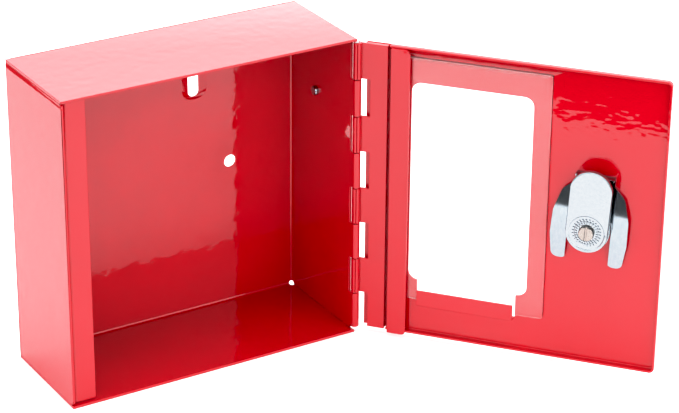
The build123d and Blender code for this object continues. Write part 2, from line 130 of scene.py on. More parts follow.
class StageSettings(bpy.types.PropertyGroup):
    floor_reach: FloatProperty(
        name="Floor reach", description="How far the paper floor goes from the cabinet", default=0.9,
        unit="LENGTH")
    front_edge: FloatProperty(
        name="Front edge", description="Where the paper ends in front on the left", default=0.36,
        unit="LENGTH")
    side_edge: FloatProperty(
        name="Side edge", description="Where the paper ends behind on the left", default=0.42, unit="LENGTH")
    surround: FloatProperty(
        name="Surround", description="Brightness of the white tent round the cabinet", default=2.75, min=0.0)
    overhead: FloatProperty(
        name="Overhead light", description="Power of the soft light above, in watts", default=23.0, min=0.0)


class CabinetSettings(bpy.types.PropertyGroup):
    enamel: PointerProperty(type=EnamelSettings, name="Enamel", description="Paint on the sheet steel")
    lock: PointerProperty(type=LockSettings, name="Lock", description="Cam lock and its clip")
    weld: PointerProperty(type=WeldSettings, name="Welds", description="Tack welds at the corners")
    stage: PointerProperty(type=StageSettings, name="Stage", description="Floor, light and camera")


def settings():
    """The cabinet's settings in this scene."""
    return bpy.context.scene.key_cabinet


# ---- nodes and materials ------------------------------------------------------------------
def add(tree, kind, inputs=None, **own):
    """Adds one node, with its own settings and its inputs, each a value or another node's socket."""
    made = tree.nodes.new(kind)
    for key, value in own.items():
        setattr(made, key, value)
    for key, value in (inputs or {}).items():
        if isinstance(value, bpy.types.NodeSocket):
            tree.links.new(value, made.inputs[key])
        else:
            made.inputs[key].default_value = value
    return made


def started(name):
    """A new material, its empty node tree and its object coordinates."""
    material = bpy.data.materials.new(name)
    material.use_nodes = True
    tree = material.node_tree
    tree.nodes.clear()
    place = add(tree, "ShaderNodeTexCoord").outputs["Object"]
    return material, tree, place


def gloss_enamel(heavy=False):
    """Stoved gloss enamel over sheet steel: a deep red with a wet shine and a faint orange peel.

    Where it is heavy, the coat has also gathered in hammered waves in the door's top outer corner.
    """
    name = "gloss_enamel_red_gathered" if heavy else "gloss_enamel_red"
    if name in bpy.data.materials:
        return bpy.data.materials[name]
    own = settings().enamel
    material, tree, place = started(name)
    cloud = add(tree, "ShaderNodeTexNoise", {"Vector": place, "Scale": 1 / (22 * MM), "Detail": 3.0})
    shade = add(tree, "ShaderNodeMix", {0: cloud.outputs["Fac"], 6: own.colour[:], 7: own.deep[:]},
                data_type="RGBA")
    peel = add(tree, "ShaderNodeTexNoise", {"Vector": place, "Scale": 1 / own.peel, "Detail": 1.5,
                                            "Roughness": 0.4})
    dust = add(tree, "ShaderNodeTexNoise", {"Vector": place, "Scale": 1 / (1.3 * MM), "Detail": 2.0})
    haze = add(tree, "ShaderNodeMapRange", {"Value": cloud.outputs["Fac"], "From Min": 0.3, "From Max": 0.7,
                                            "To Min": 0.03, "To Max": 0.07})
    waves = add(tree, "ShaderNodeBump",
                {"Strength": 1.0, "Distance": 0.11 * MM, "Height": peel.outputs["Fac"]})
    grain = add(tree, "ShaderNodeBump",
                {"Strength": 1.0, "Distance": 0.004 * MM, "Height": dust.outputs["Fac"],
                 "Normal": waves.outputs["Normal"]})
    if heavy:
        grain = gathered(tree, place, grain)
    skin = add(tree, "ShaderNodeBsdfPrincipled", {"Base Color": shade.outputs[2], "IOR": 1.58,
                                                  "Roughness": haze.outputs["Result"],
                                                  "Normal": grain.outputs["Normal"]})
    add(tree, "ShaderNodeOutputMaterial", {"Surface": skin.outputs[0]})
    return material


def gathered(tree, place, under):
    """Hammered waves of thick enamel, fading in over the door's top outer corner.

    The height also falls off ever faster towards the top, so the face shades as if it leaned back.
    """
    corner_x = (88 * MM, 96 * MM)      # from nothing to full, outwards
    corner_z = (30 * MM, 48 * MM)      # from nothing to full, upwards
    rim_z = (66 * MM, 70 * MM)         # strip along the door's whole top edge
    lean_z = 33 * MM                   # where the lean begins
    lean_rate = 6500.0
    wave_size = (6.5 * MM, 3.6 * MM)   # along and up
    turned = add(tree, "ShaderNodeMapping", {"Vector": place, "Location": HINGE[:],
                                             "Rotation": (0.0, 0.0, DOOR_OPEN - math.pi)},
                 vector_type="TEXTURE")
    along = add(tree, "ShaderNodeSeparateXYZ", {0: turned.outputs[0]})
    far = add(tree, "ShaderNodeMapRange", {"Value": along.outputs["X"], "From Min": corner_x[0],
                                           "From Max": corner_x[1]})
    high = add(tree, "ShaderNodeMapRange", {"Value": along.outputs["Z"], "From Min": corner_z[0],
                                            "From Max": corner_z[1]})
    corner = add(tree, "ShaderNodeMath", {0: far.outputs[0], 1: high.outputs[0]}, operation="MULTIPLY")
    strip = add(tree, "ShaderNodeMapRange", {"Value": along.outputs["Z"], "From Min": rim_z[0],
                                             "From Max": rim_z[1]})
    inner = add(tree, "ShaderNodeMath", {0: along.outputs["Y"], 1: INNER_FACE}, operation="LESS_THAN")
    both = add(tree, "ShaderNodeMath", {0: corner.outputs[0], 1: strip.outputs[0]}, operation="MAXIMUM")
    where = add(tree, "ShaderNodeMath", {0: both.outputs[0], 1: inner.outputs[0]}, operation="MULTIPLY")
    edge = add(tree, "ShaderNodeMath", {0: far.outputs[0], 1: strip.outputs[0]}, operation="MAXIMUM")
    side = add(tree, "ShaderNodeMath", {0: edge.outputs[0], 1: inner.outputs[0]}, operation="MULTIPLY")
    flat = add(tree, "ShaderNodeMapping", {"Vector": turned.outputs[0],
                                           "Scale": (1 / wave_size[0], 1.0, 1 / wave_size[1])})
    hammer = add(tree, "ShaderNodeTexNoise", {"Vector": flat.outputs[0], "Scale": 1.0, "Detail": 1.0,
                                              "Roughness": 0.4})
    waves = add(tree, "ShaderNodeMath", {0: where.outputs[0], 1: hammer.outputs["Fac"]},
                operation="MULTIPLY")
    above = add(tree, "ShaderNodeMath", {0: along.outputs["Z"], 1: lean_z}, operation="SUBTRACT",
                use_clamp=True)
    swell = add(tree, "ShaderNodeMath", {0: above.outputs[0], 1: 2.0}, operation="POWER")
    lean = add(tree, "ShaderNodeMath", {0: swell.outputs[0], 1: lean_rate}, operation="MULTIPLY")
    leaning = add(tree, "ShaderNodeMath", {0: lean.outputs[0], 1: side.outputs[0]}, operation="MULTIPLY")
    depth = add(tree, "ShaderNodeMath", {0: waves.outputs[0], 1: leaning.outputs[0]}, operation="SUBTRACT")
    return add(tree, "ShaderNodeBump", {"Strength": 1.0, "Distance": 0.26 * MM, "Height": depth.outputs[0],
                                        "Normal": under.outputs["Normal"]})


def plated(name, light, dark, rough, grain, speckle):
    """A plated or bare metal: colours, roughness range, brushing direction scales and speckle size.

    The brushing is drawn coarser than it is, since at its true pitch it would be too fine to show.
    """
    if name in bpy.data.materials:
        return bpy.data.materials[name]
    material, tree, place = started(name)
    spun = add(tree, "ShaderNodeMapping", {"Vector": place, "Scale": grain})
    brush = add(tree, "ShaderNodeTexNoise", {"Vector": spun.outputs[0], "Scale": 1.0, "Detail": 4.0,
                                             "Roughness": 0.6})
    spots = add(tree, "ShaderNodeTexNoise", {"Vector": place, "Scale": 1 / speckle, "Detail": 3.0,
                                             "Roughness": 0.7})
    both = add(tree, "ShaderNodeMath", {0: brush.outputs["Fac"], 1: spots.outputs["Fac"]},
               operation="MULTIPLY")
    level = add(tree, "ShaderNodeMapRange", {"Value": both.outputs[0], "From Min": 0.05, "From Max": 0.50})
    shade = add(tree, "ShaderNodeMix", {0: level.outputs["Result"], 6: linear(dark), 7: linear(light)},
                data_type="RGBA")
    haze = add(tree, "ShaderNodeMapRange", {"Value": spots.outputs["Fac"], "From Min": 0.3, "From Max": 0.7,
                                            "To Min": rough[1], "To Max": rough[0]})
    dips = add(tree, "ShaderNodeTexNoise", {"Vector": place, "Scale": 1 / (2.5 * MM), "Detail": 0.0})
    relief = add(tree, "ShaderNodeBump",
                 {"Strength": 1.0, "Distance": 0.008 * MM, "Height": dips.outputs["Fac"]})
    skin = add(tree, "ShaderNodeBsdfPrincipled", {"Base Color": shade.outputs[2], "Metallic": 1.0,
                                                  "Roughness": haze.outputs["Result"],
                                                  "Normal": relief.outputs["Normal"]})
    add(tree, "ShaderNodeOutputMaterial", {"Surface": skin.outputs[0]})
    return material


def bright_zinc():
    """Bright zinc plate on stamped steel: bluish white, fine brushing left by the blanking."""
    return plated("bright_zinc_plate", "#A3A9AE", "#9AA0A5", (0.17, 0.26), (260, 260, 900), 1.1 * MM)


def die_cast_zinc():
    """Nickel-flashed zinc die casting: smooth grey-white with slight pits."""
    return plated("nickel_flashed_die_casting", "#C4C8CB", "#A3A8AC", (0.14, 0.24), (500, 500, 500),
                  0.8 * MM)


def spring_steel():
    """Spring steel under a thin zinc flash: bright, with fine darker specks."""
    return plated("zinc_flashed_spring_steel", "#A3AAB0", "#8D959C", (0.08, 0.16), (900, 900, 300),
                  0.45 * MM)


def nickel_screw():
    """Nickel-plated screw: slightly warm, with turned marks."""
    return plated("nickel_plated_screw", "#AEA6A1", "#8C8682", (0.18, 0.26), (1500, 1500, 1500), 0.6 * MM)


def cut_brass():
    """Blanked brass wafers: yellow, with the shear marks of the punch."""
    return plated("blanked_brass", "#D9B766", "#A98640", (0.22, 0.36), (2200, 300, 300), 0.5 * MM)


def bare_pin():
    """Drawn steel wire of the hinge pin: grey with lengthwise drawing lines."""
    return plated("drawn_steel_wire", "#B9BBBD", "#7F8284", (0.22, 0.36), (3000, 3000, 60), 0.6 * MM)


def window_glass():
    """Float glass: clear, with a slight green body and faint wiping marks."""
    if "float_glass" in bpy.data.materials:
        return bpy.data.materials["float_glass"]
    material, tree, place = started("float_glass")
    wiped = add(tree, "ShaderNodeMapping",
                {"Vector": place, "Scale": (45, 45, 160), "Rotation": (0.0, 0.5, 0.0)})
    smear = add(tree, "ShaderNodeTexNoise", {"Vector": wiped.outputs[0], "Scale": 1.0, "Detail": 4.0})
    haze = add(tree, "ShaderNodeMapRange", {"Value": smear.outputs["Fac"], "From Min": 0.4, "From Max": 0.8,
                                            "To Min": 0.0, "To Max": 0.05})
    tone = add(tree, "ShaderNodeMix", {0: smear.outputs["Fac"], 6: linear("#FEFFFE"), 7: linear("#FAFCFB")},
               data_type="RGBA")
    skin = add(tree, "ShaderNodeBsdfPrincipled", {"Base Color": tone.outputs[2], "IOR": 1.5,
                                                  "Roughness": haze.outputs["Result"],
                                                  "Transmission Weight": 1.0})
    path = add(tree, "ShaderNodeLightPath")
    lamps = add(tree, "ShaderNodeMath",
                {0: path.outputs["Is Shadow Ray"], 1: path.outputs["Is Diffuse Ray"]},
                operation="MAXIMUM")
    clear = add(tree, "ShaderNodeBsdfTransparent")
    lit = add(tree, "ShaderNodeMixShader", {0: lamps.outputs[0], 1: skin.outputs[0], 2: clear.outputs[0]})
    add(tree, "ShaderNodeOutputMaterial", {"Surface": lit.outputs[0]})
    return material


def frosted_edge_painted_highlight():
    """Ground edge of the glass, used only where it faces up: finely frosted, and pale pink as a painted
    highlight of the light from above.
    """
    if "ground_glass_edge" in bpy.data.materials:
        return bpy.data.materials["ground_glass_edge"]
    material, tree, place = started("ground_glass_edge")
    grit = add(tree, "ShaderNodeTexNoise", {"Vector": place, "Scale": 1 / (0.25 * MM), "Detail": 2.0})
    tone = add(tree, "ShaderNodeMix", {0: grit.outputs["Fac"], 6: linear("#F2D9DA"), 7: linear("#D9A9AC")},
               data_type="RGBA")
    relief = add(tree, "ShaderNodeBump",
                 {"Strength": 0.6, "Distance": 0.01 * MM, "Height": grit.outputs["Fac"]})
    skin = add(tree, "ShaderNodeBsdfPrincipled",
               {"Base Color": tone.outputs[2], "Roughness": 0.35, "IOR": 1.5,
                "Transmission Weight": 0.7, "Normal": relief.outputs["Normal"]})
    add(tree, "ShaderNodeOutputMaterial", {"Surface": skin.outputs[0]})
    return material


# ---- meshes -------------------------------------------------------------------------------
def link(name, mesh):
    """A new object for a mesh, at the origin and unturned."""
    made = bpy.data.objects.new(name, mesh)
    bpy.context.scene.collection.objects.link(made)
    return made


def merged(node):
    """Copy of a CAD node's mesh with its doubles merged and its flat faces joined."""
    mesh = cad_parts[node].data.copy()
    mesh.materials.clear()
    for layer in ("custom_normal", "sharp_face", "sharp_edge"):
        if layer in mesh.attributes:
            mesh.attributes.remove(mesh.attributes[layer])
    shape = bmesh.new()
    shape.from_mesh(mesh)
    bmesh.ops.remove_doubles(shape, verts=shape.verts, dist=DOUBLES)
    bmesh.ops.dissolve_degenerate(shape, dist=DOUBLES, edges=shape.edges)
    bmesh.ops.dissolve_limit(shape, angle_limit=math.radians(0.5), verts=shape.verts, edges=shape.edges)
    bmesh.ops.triangulate(shape, faces=shape.faces, ngon_method="BEAUTY")
    shape.to_mesh(mesh)
    shape.free()
    return mesh


def settled(work):
    """Turns an object with modifiers into a plain mesh object of the same name."""
    graph = bpy.context.evaluated_depsgraph_get()
    mesh = bpy.data.meshes.new_from_object(work.evaluated_get(graph), depsgraph=graph)
    name = work.name
    bpy.data.objects.remove(work)
    return link(name, mesh)


def flat_area(start, done):
    """Faces that lie in one plane with a face and join up with it."""
    done.add(start)
    queue = [start]
    flat = []
    while queue:
        face = queue.pop()
        flat.append(face)
        for near in (other for edge in face.edges for other in edge.link_faces):
            strays = [abs((vert.co - start.verts[0].co).dot(start.normal)) for vert in near.verts]
            if near not in done and max(strays) < FLAT_ENOUGH:
                done.add(near)
                queue.append(near)
    return flat


def open_length(shape):
    """Total length of the edges that don't join exactly two faces."""
    return sum(edge.calc_length() for edge in shape.edges if len(edge.link_faces) != 2)


def refilled(shape, flat, true):
    """A copy of a mesh with one flat area filled anew with clean triangles.

    The area is marked in a layer, because its faces are other faces in the copy.
    """
    tag = shape.faces.layers.int.get("in_area")
    for face in flat:
        face[tag] = 1
    trial = shape.copy()
    for face in flat:
        face[tag] = 0
    tag = trial.faces.layers.int.get("in_area")
    kept = trial.loops.layers.float_vector.get("kept_normal")
    old = [face for face in trial.faces if face[tag]]
    inside = set(old)
    rim = [edge for face in old for edge in face.edges if len(inside.intersection(edge.link_faces)) == 1]
    bmesh.ops.delete(trial, geom=old, context="FACES")
    filled = bmesh.ops.triangle_fill(trial, edges=list(dict.fromkeys(rim)), use_beauty=True, normal=true)
    open_edges = [edge for edge in trial.edges if len(edge.link_faces) == 1]
    gaps = bmesh.ops.holes_fill(trial, edges=open_edges, sides=4)
    for face in (part for part in filled["geom"] + gaps["faces"] if isinstance(part, bmesh.types.BMFace)):
        face.smooth = True
        face.normal_update()
        if face.normal.dot(true) < 0:
            face.normal_flip()
        for loop in face.loops:
            loop[kept] = true
    return trial


def flattened(mesh):
    """Gives every wide flat area clean triangles and one true normal, so reflections in it stay whole.

    An area that can't be filled without opening the mesh keeps its old triangles.
    """
    shape = bmesh.new()
    shape.from_mesh(mesh)
    shape.faces.layers.int.new("in_area")
    kept = shape.loops.layers.float_vector.new("kept_normal")
    for face, polygon in zip(shape.faces, mesh.polygons):
        for loop, corner in zip(face.loops, polygon.loop_indices):
            loop[kept] = mesh.corner_normals[corner].vector
    planes = []
    done = set()
    for start in sorted(shape.faces, key=lambda face: -face.calc_area()):
        if start not in done and start.calc_area() > WIDE_AREA / 100:
            flat = flat_area(start, done)
            if sum(face.calc_area() for face in flat) > WIDE_AREA:
                planes.append((start.calc_center_median(), start.normal.copy()))
    for middle, true in planes:
        kept = shape.loops.layers.float_vector.get("kept_normal")
        start = max((face for face in shape.faces if face.normal.dot(true) > 0.999
                     and abs((face.calc_center_median() - middle).dot(true)) < FLAT_ENOUGH),
                    key=lambda face: face.calc_area())
        flat = flat_area(start, set())
        level = start.verts[0].co.copy()
        for face in flat:
            for loop in face.loops:
                loop[kept] = true
                loop.vert.co -= true * (loop.vert.co - level).dot(true)
        trial = refilled(shape, flat, true)
        if open_length(trial) <= open_length(shape) + MM:
            shape, trial = trial, shape
        trial.free()
    shape.faces.layers.int.remove(shape.faces.layers.int.get("in_area"))
    shape.to_mesh(mesh)
    shape.free()
    mesh.normals_split_custom_set([corner.vector for corner in mesh.attributes["kept_normal"].data])
    mesh.attributes.remove(mesh.attributes["kept_normal"])


def boxed_in(mesh, low, high):
    """Brings points that the rounding pushed out of a node's box back to it."""
    for vert in mesh.vertices:
        vert.co = [min(max(vert.co[axis], low[axis]), high[axis]) for axis in range(3)]


def eased(node, name, material, edge, reshape=None):
    """A CAD node's shape with its sharp edges rounded, as a plain mesh with its material."""
    mesh = merged(node)
    if reshape:
        reshape(mesh)
    work = link(name, mesh)
    mesh.shade_smooth()
    round_off = work.modifiers.new("round_off", "BEVEL")
    round_off.width = edge
    round_off.segments = 2
    round_off.limit_method = "ANGLE"
    round_off.angle_limit = math.radians(38.0)
    round_off.use_clamp_overlap = False
    round_off.miter_outer = "MITER_ARC"
    weigh = work.modifiers.new("weigh", "WEIGHTED_NORMAL")
    weigh.weight = 98
    weigh.keep_sharp = True
    piece = settled(work)
    piece.data.materials.append(material)
    boxed_in(piece.data, *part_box(node))
    flattened(piece.data)
    boxed_in(piece.data, *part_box(node))
    return piece


def rolled_in(mesh):
    """Rolls the top of the case's left wall slightly inwards, as the press brake leaves it."""
    low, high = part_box("cabinet_shell")
    top = high.z - 1.35 * MM        # the left wall ends here, under the top wall
    band = 3.2 * MM                 # height that is rolled
    wall = 1.3 * MM                 # just over the sheet's thickness
    back = -2.5 * MM                # the fold to the back wall stays as it is
    roll = 0.32 * MM
    shape = bmesh.new()
    shape.from_mesh(mesh)
    for share in (0.0, 0.25, 0.5, 0.75):
        everything = [*shape.verts, *shape.edges, *shape.faces]
        bmesh.ops.bisect_plane(shape, geom=everything, plane_co=(0, 0, top - band * (1 - share)),
                               plane_no=(0, 0, 1), dist=CUT_MARGIN)
    for vert in shape.verts:
        share = (vert.co.z - top + band) / band
        if vert.co.x < low.x + wall and 0.0 < share <= 1.01 and vert.co.y < back:
            vert.co.x += roll * share ** 1.6
    bmesh.ops.triangulate(shape, faces=[f for f in shape.faces if len(f.verts) > 4])
    shape.to_mesh(mesh)
    shape.free()


def stand_in(piece, body, slot, *nodes):
    """Hides the CAD nodes that a finished piece replaces and hangs the piece on the body it rides on. The
    slot is not used.
    """
    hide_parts(*nodes)
    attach(piece, body)


def dressed(node, material):
    """Gives a CAD node its material."""
    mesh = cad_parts[node].data
    mesh.materials.clear()
    mesh.materials.append(material)


# ---- pieces -------------------------------------------------------------------------------
class KEYCAB_OT_case(bpy.types.Operator):
    """Makes the folded case and the strike angle with rounded, painted edges"""
    bl_idname = "keycab.case"
    bl_label = "Case and strike"

    def execute(self, context):
        edge = settings().enamel.edge
        for node, reshape in (("cabinet_shell", rolled_in), ("strike_angle", None)):
            piece = eased(node, "painted_" + node, gloss_enamel(), edge, reshape)
            stand_in(piece, "case", "case_enamel", node)
        return {"FINISHED"}


class KEYCAB_OT_door(bpy.types.Operator):
    """Makes the door's painted sheets: panel, hinge leaf and stile"""
    bl_idname = "keycab.door"
    bl_label = "Door sheets"

    def execute(self, context):
        edge = settings().enamel.edge
        for node in ("door_panel", "door_hinge_leaf", "door_stile"):
            piece = eased(node, "painted_" + node, gloss_enamel(heavy=node == "door_panel"), edge)
            stand_in(piece, "door", "door_enamel", node)
        return {"FINISHED"}


class KEYCAB_OT_pane(bpy.types.Operator):
    """Gives the window its glass, with the edge that faces up ground and pale pink as a painted highlight"""
    bl_idname = "keycab.pane"
    bl_label = "Window glass"

    def execute(self, context):
        mesh = merged("glass_pane")
        mesh.materials.append(window_glass())
        mesh.materials.append(frosted_edge_painted_highlight())
        outward = DOOR_FRAME.to_3x3() @ Vector((0.0, 1.0, 0.0))
        for face in mesh.polygons:
            on_edge = abs(face.normal.dot(outward)) < 0.9
            # Only the edge that faces up gets the frosted edge; its pale colour is a painted highlight of the
            # light from above.
            face.material_index = 1 if on_edge and face.normal.z > 0.7 else 0
            face.use_smooth = False
        stand_in(link("window_pane", mesh), "door", "pane", "glass_pane")
        return {"FINISHED"}


class KEYCAB_OT_fixings(bpy.types.Operator):
    """Gives the hinge pin, the rivet and the wafers their metals"""
    bl_idname = "keycab.fixings"
    bl_label = "Pin, rivet, wafers"

    def execute(self, context):
        dressed("hinge_pin", bare_pin())
        dressed("chain_anchor_rivet", spring_steel())
        for i in range(1, 5):
            dressed(f"wafer_{i}", cut_brass())
            dressed(f"wafer_spring_{i}", spring_steel())
        return {"FINISHED"}


def bead_tree():
    """Ripples of a tack weld: balls of uneven size, set close together along each line of a mesh."""
    tree = bpy.data.node_groups.new("tack_weld_bead", "GeometryNodeTree")
    face = tree.interface
    face.new_socket("Geometry", in_out="INPUT", socket_type="NodeSocketGeometry")
    face.new_socket("Pitch", in_out="INPUT", socket_type="NodeSocketFloat")
    face.new_socket("Bead", in_out="INPUT", socket_type="NodeSocketFloat")
    face.new_socket("Material", in_out="INPUT", socket_type="NodeSocketMaterial")
    face.new_socket("Geometry", in_out="OUTPUT", socket_type="NodeSocketGeometry")
    given = add(tree, "NodeGroupInput").outputs
    lines = add(tree, "GeometryNodeMeshToCurve", {"Mesh": given["Geometry"]})
    spots = add(tree, "GeometryNodeResampleCurve", {"Curve": lines.outputs[0], "Length": given["Pitch"]},
                mode="LENGTH")
    ball = add(tree, "GeometryNodeMeshIcoSphere", {"Radius": given["Bead"], "Subdivisions": 3})
    size = add(tree, "FunctionNodeRandomValue", {2: 0.82, 3: 1.0, "Seed": 4}, data_type="FLOAT")
    laid = add(tree, "GeometryNodeInstanceOnPoints",
               {"Points": spots.outputs[0], "Instance": ball.outputs[0],
                                                      "Scale": size.outputs[1]})
    whole = add(tree, "GeometryNodeRealizeInstances", {0: laid.outputs[0]})
    soft = add(tree, "GeometryNodeSetShadeSmooth", {0: whole.outputs[0]})
    dressed_bead = add(tree, "GeometryNodeSetMaterial",
                       {"Geometry": soft.outputs[0], "Material": given["Material"]})
    add(tree, "NodeGroupOutput", {0: dressed_bead.outputs[0]})
    return tree


def grown(name, seed_mesh, tree, values):
    """Runs a tree on a mesh with its inputs set by name, and returns the plain mesh object."""
    work = link(name, seed_mesh)
    maker = work.modifiers.new("maker", "NODES")
    maker.node_group = tree
    for item in tree.interface.items_tree:
        if item.in_out == "INPUT" and item.name in values:
            maker[item.identifier] = values[item.name]
    return settled(work)


def islands(node):
    """Low and high corner of each separate solid of a CAD node."""
    shape = bmesh.new()
    shape.from_mesh(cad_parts[node].data)
    bmesh.ops.remove_doubles(shape, verts=shape.verts, dist=DOUBLES)
    left = set(shape.verts)
    boxes = []
    while left:
        queue = [left.pop()]
        found = []
        while queue:
            vert = queue.pop()
            found.append(vert.co.copy())
            near = {edge.other_vert(vert) for edge in vert.link_edges} & left
            left -= near
            queue.extend(near)
        low = Vector(min(co[axis] for co in found) for axis in range(3))
        high = Vector(max(co[axis] for co in found) for axis in range(3))
        boxes.append((low, high))
    shape.free()
    return sorted(boxes, key=lambda pair: tuple(round(c, 5) for c in pair[0]))


class KEYCAB_OT_welds(bpy.types.Operator):
    """Lays a rippled bead along each tack weld of the corner seams"""
    bl_idname = "keycab.welds"
    bl_label = "Tack welds"

    def execute(self, context):
        own = settings().weld
        lines = bmesh.new()
        for low, high in islands("corner_tack_welds"):
            middle = (low + high) / 2
            ends = [Vector((middle.x, y, middle.z)) for y in (low.y, high.y)]
            lines.edges.new([lines.verts.new(end) for end in ends])
        mesh = bpy.data.meshes.new("weld_lines")
        lines.to_mesh(mesh)
        lines.free()
        values = {"Pitch": own.pitch, "Bead": own.bead, "Material": gloss_enamel()}
        piece = grown("tack_weld_beads", mesh, bead_tree(), values)
        stand_in(piece, "case", "case_enamel", "corner_tack_welds")
        return {"FINISHED"}


TOOTH_SIZE = (0.7 * MM, 2.4 * MM, 0.24 * MM)   # along the ring, across it, thick
TOOTH_TWIST = 0.06
RING_WIRE = 0.28 * MM


def washer_tree():
    """Internal and external teeth of a lock washer, set round a ring and slightly twisted."""
    tree = bpy.data.node_groups.new("toothed_washer", "GeometryNodeTree")
    face = tree.interface
    face.new_socket("Geometry", in_out="INPUT", socket_type="NodeSocketGeometry")
    face.new_socket("Teeth", in_out="INPUT", socket_type="NodeSocketInt")
    face.new_socket("Ring radius", in_out="INPUT", socket_type="NodeSocketFloat")
    face.new_socket("Tooth size", in_out="INPUT", socket_type="NodeSocketVector")
    face.new_socket("Ring wire", in_out="INPUT", socket_type="NodeSocketFloat")
    face.new_socket("Material", in_out="INPUT", socket_type="NodeSocketMaterial")
    face.new_socket("Geometry", in_out="OUTPUT", socket_type="NodeSocketGeometry")
    given = add(tree, "NodeGroupInput").outputs
    ring = add(tree, "GeometryNodeCurvePrimitiveCircle", {"Radius": given["Ring radius"], "Resolution": 96})
    spots = add(tree, "GeometryNodeResampleCurve", {"Curve": ring.outputs[0], "Count": given["Teeth"]},
                mode="COUNT")
    along = add(tree, "GeometryNodeInputTangent")
    turn = add(tree, "FunctionNodeAlignRotationToVector", {"Vector": along.outputs[0]}, axis="X")
    twist = add(tree, "FunctionNodeRotateRotation", {0: turn.outputs[0], 1: (0.0, TOOTH_TWIST, 0.0)},
                rotation_space="LOCAL")
    tooth = add(tree, "GeometryNodeMeshCube", {"Size": given["Tooth size"]})
    laid = add(tree, "GeometryNodeInstanceOnPoints",
               {"Points": spots.outputs[0], "Instance": tooth.outputs[0],
                                                      "Rotation": twist.outputs[0]})
    section = add(tree, "GeometryNodeCurvePrimitiveCircle",
                  {"Radius": given["Ring wire"], "Resolution": 10})
    band = add(tree, "GeometryNodeCurveToMesh",
               {"Curve": ring.outputs[0], "Profile Curve": section.outputs[0]})
    both = add(tree, "GeometryNodeJoinGeometry", {0: laid.outputs[0]})
    tree.links.new(band.outputs[0], both.inputs[0])
    whole = add(tree, "GeometryNodeRealizeInstances", {0: both.outputs[0]})
    finish = add(tree, "GeometryNodeSetMaterial",
                 {"Geometry": whole.outputs[0], "Material": given["Material"]})
    add(tree, "NodeGroupOutput", {0: finish.outputs[0]})
    return tree


class KEYCAB_OT_washer(bpy.types.Operator):
    """Makes the toothed lock washer under the cam's screw"""
    bl_idname = "keycab.washer"
    bl_label = "Toothed washer"

    def execute(self, context):
        own = settings().lock
        empty = bpy.data.meshes.new("washer_seed")
        values = {"Teeth": own.washer_teeth, "Ring radius": own.washer_radius, "Ring wire": RING_WIRE,
                  "Tooth size": TOOTH_SIZE, "Material": bright_zinc()}
        piece = grown("toothed_lock_washer", empty, washer_tree(), values)
        level = local_levels("cam_washer")
        seat = Matrix.Translation((0.0, (level[0] + level[1]) / 2, 0.0)) @ Matrix.Rotation(math.pi / 2, 4,
                                                                                           "X")
        piece.data.transform(LOCK_FRAME @ seat)
        stand_in(piece, "lock_core", "zinc_plate", "cam_washer")
        return {"FINISHED"}


def local_levels(node):
    """Inner and outer level of a lock part along the lock's own axis."""
    back = LOCK_FRAME.inverted()
    levels = [(back @ vert.co).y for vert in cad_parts[node].data.vertices]
    return min(levels), max(levels)


CLIP_KNEE = 7.0          # height in millimetres where the shoulders meet the prongs
CLIP_BLEND = 3.0
CLIP_BORE = 10.2         # the clip stays this far from the lock's axis, outside the housing


def clip_reach(z):
    """Share of the clip's bow at a height in millimetres: straight shoulders, curved prongs."""
    above = z - CLIP_KNEE
    shoulder = (math.hypot(above, CLIP_BLEND) + above) / 29.0
    prong = 0.8 * (above / 27.0) ** 2 if above < 0.0 else 0.0
    return max(0.0, 1.0 - shoulder - prong)


def bowed_clip(own):
    """The horseshoe clip with its plate bowed away from the door, its tips and shoulders touching it."""
    piece = eased("horseshoe_clip", "horseshoe_clip_bowed", spring_steel(), own.edge * 0.5)
    mesh = piece.data
    mesh.transform(LOCK_FRAME.inverted())
    shape = bmesh.new()
    shape.from_mesh(mesh)
    bmesh.ops.triangulate(shape, faces=shape.faces)
    for step in range(-17, 24):     # cut at every millimetre, clear of the clip's own points
        level = Vector((0.0, 0.0, (step + 0.37) * MM))
        everything = [*shape.verts, *shape.edges, *shape.faces]
        bmesh.ops.bisect_plane(shape, geom=everything, plane_co=level, plane_no=(0, 0, 1), dist=CUT_MARGIN)
    for vert in shape.verts:
        x, y, z = vert.co / MM
        vert.co.y -= own.clip_bow * clip_reach(z)
        spread = math.hypot(x, z) if z > 0 else abs(x)
        if spread < CLIP_BORE and z < 12.0:
            vert.co.x *= CLIP_BORE / max(spread, 1.0)
            vert.co.z *= CLIP_BORE / max(spread, 1.0) if z > 0 else 1.0
    bmesh.ops.triangulate(shape, faces=[f for f in shape.faces if len(f.verts) > 4])
    shape.to_mesh(mesh)
    shape.free()
    if "custom_normal" in mesh.attributes:
        mesh.attributes.remove(mesh.attributes["custom_normal"])
    mesh.shade_smooth()
    mesh.set_sharp_from_angle(angle=math.radians(40))
    normals = [corner.vector.copy() for corner in mesh.corner_normals]
    # Both faces of the plate take their normals from the bow's slope, so they shade as one curve.
    for face in mesh.polygons:
        side = math.copysign(1.0, face.normal.y)
        if abs(face.normal.y) > 0.9:
            for corner in face.loop_indices:
                z = mesh.vertices[mesh.loops[corner].vertex_index].co.z / MM
                lean = own.clip_bow / MM * (clip_reach(z + 0.5) - clip_reach(z - 0.5))
                normals[corner] = Vector((0.0, side, side * lean)).normalized()
    mesh.normals_split_custom_set(normals)
    mesh.transform(LOCK_FRAME)
    return piece


